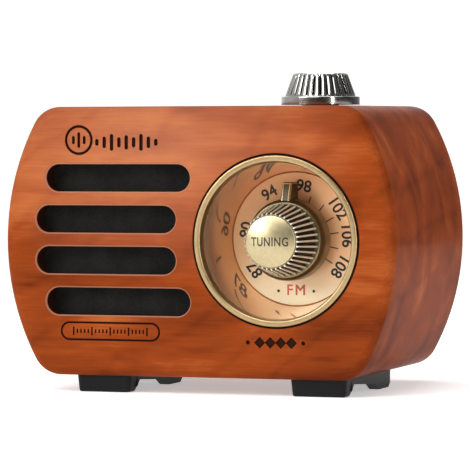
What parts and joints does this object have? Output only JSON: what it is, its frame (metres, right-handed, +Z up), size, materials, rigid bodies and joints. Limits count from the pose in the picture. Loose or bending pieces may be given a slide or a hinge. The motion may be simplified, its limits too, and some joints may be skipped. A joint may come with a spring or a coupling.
{
  "type": "table radio",
  "caption": "Small FM table radio in a bowed wooden case, with a slotted speaker grille, a sunk round tuning dial with a ribbed knob, and a fluted volume knob on top.",
  "frame": {"origin": "on the table, under the middle of the radio's overall box", "axes": "+X to the radio's right as seen from the front, +Y from the front to the back, +Z up"},
  "size_m": [0.12, 0.0816, 0.0938],
  "materials": {
    "cherry_wood": "satin lacquer over red-brown grain",
    "bare_wood": "raw sawn",
    "grille_cloth": "black woven",
    "black_plastic": "fine matt moulding",
    "foam": "soft closed cell",
    "pressed_steel": "zinc plated",
    "cone_paper": "pressed pulp",
    "surround_rubber": "smooth",
    "ferrite": "sintered, dull",
    "copper_winding": "enamelled wire",
    "polished_gold": "polished, lacquered",
    "copper_gold": "satin spun metal",
    "aged_brass": "satin, darkened in the grooves",
    "dark_bronze": "smooth bronze paint",
    "dark_chrome": "polished, smoked",
    "screw_steel": "blackened",
    "board_green": "solder mask",
    "component_black": "moulded",
    "capacitor_can": "drawn can",
    "plug_white": "moulded nylon",
    "socket_steel": "plated",
    "lamp_lens": "clear diffusing",
    "battery_wrap": "shrink sleeve",
    "wire_red": "insulation",
    "wire_black": "insulation"
  },
  "bodies": {
    "case": {"cabinet": "cherry_wood", "back_panel": "cherry_wood", "corner_blocks": "bare_wood", "back_screws": "screw_steel", "speaker_cloth": "grille_cloth", "speaker_gasket": "foam", "speaker_basket": "pressed_steel", "speaker_surround": "surround_rubber", "speaker_gap_plate": "pressed_steel", "speaker_magnet": "ferrite", "speaker_yoke": "pressed_steel", "speaker_screws": "screw_steel", "terminal_strip": "component_black", "dial_ring": "polished_gold", "dial_cup": "copper_gold", "dial_plate": "copper_gold", "dial_screws": "screw_steel", "tuning_control": "component_black", "tuning_nut": "pressed_steel", "volume_control": "component_black", "volume_nut": "pressed_steel", "main_board": "board_green", "standoffs": "black_plastic", "board_screws": "screw_steel", "chips": "component_black", "capacitors": "capacitor_can", "coil": "copper_winding", "wire_headers": "plug_white", "socket_plate": "black_plastic", "usb_socket": "socket_steel", "aux_socket": "component_black", "status_led": "lamp_lens", "mode_switch": "component_black", "power_switch": "component_black", "plate_screws": "screw_steel", "battery_pad": "foam", "battery_pack": "battery_wrap", "speaker_wires": "wire_red", "battery_wires": "wire_red", "volume_wires": "wire_red", "tuning_wires": "wire_red", "antenna_wire": "wire_black", "foot_left": "black_plastic", "foot_right": "black_plastic", "foot_screws": "screw_steel"},
    "tuning": {"tuning_knob": "aged_brass", "knob_cap": "aged_brass", "pointer_skirt": "dark_bronze", "tuning_shaft": "socket_steel"},
    "volume": {"volume_knob": "dark_chrome", "volume_cap": "dark_chrome", "volume_skirt": "dark_chrome", "volume_shaft": "socket_steel"},
    "mode_key": {"mode_button": "black_plastic"},
    "power_key": {"power_slider": "black_plastic"},
    "diaphragm": {"speaker_cone": "cone_paper", "dust_cap": "cone_paper", "voice_coil": "copper_winding"}
  },
  "joints": [
    {"name": "tuning_turn", "type": "hinge", "parent": "case", "child": "tuning", "pos_m": [0.0245, -0.0352, 0.04505], "axis": [0, 1, 0], "range_deg": [-125, 125]},
    {"name": "volume_turn", "type": "hinge", "parent": "case", "child": "volume", "pos_m": [0.0245, 0.0078, 0.084], "axis": [0, 0, -1], "range_deg": [0, 280]},
    {"name": "mode_press", "type": "slide", "parent": "case", "child": "mode_key", "axis": [0, -1, 0], "range_m": [0, 0.0005], "stiffness_N_per_m": 400},
    {"name": "power_slide", "type": "slide", "parent": "case", "child": "power_key", "axis": [1, 0, 0], "range_m": [0, 0.003]},
    {"name": "cone_travel", "type": "slide", "parent": "case", "child": "diaphragm", "axis": [0, 1, 0], "range_m": [-0.0005, 0.0005], "stiffness_N_per_m": 1000, "deforming": ["speaker_surround"]}
  ]
}
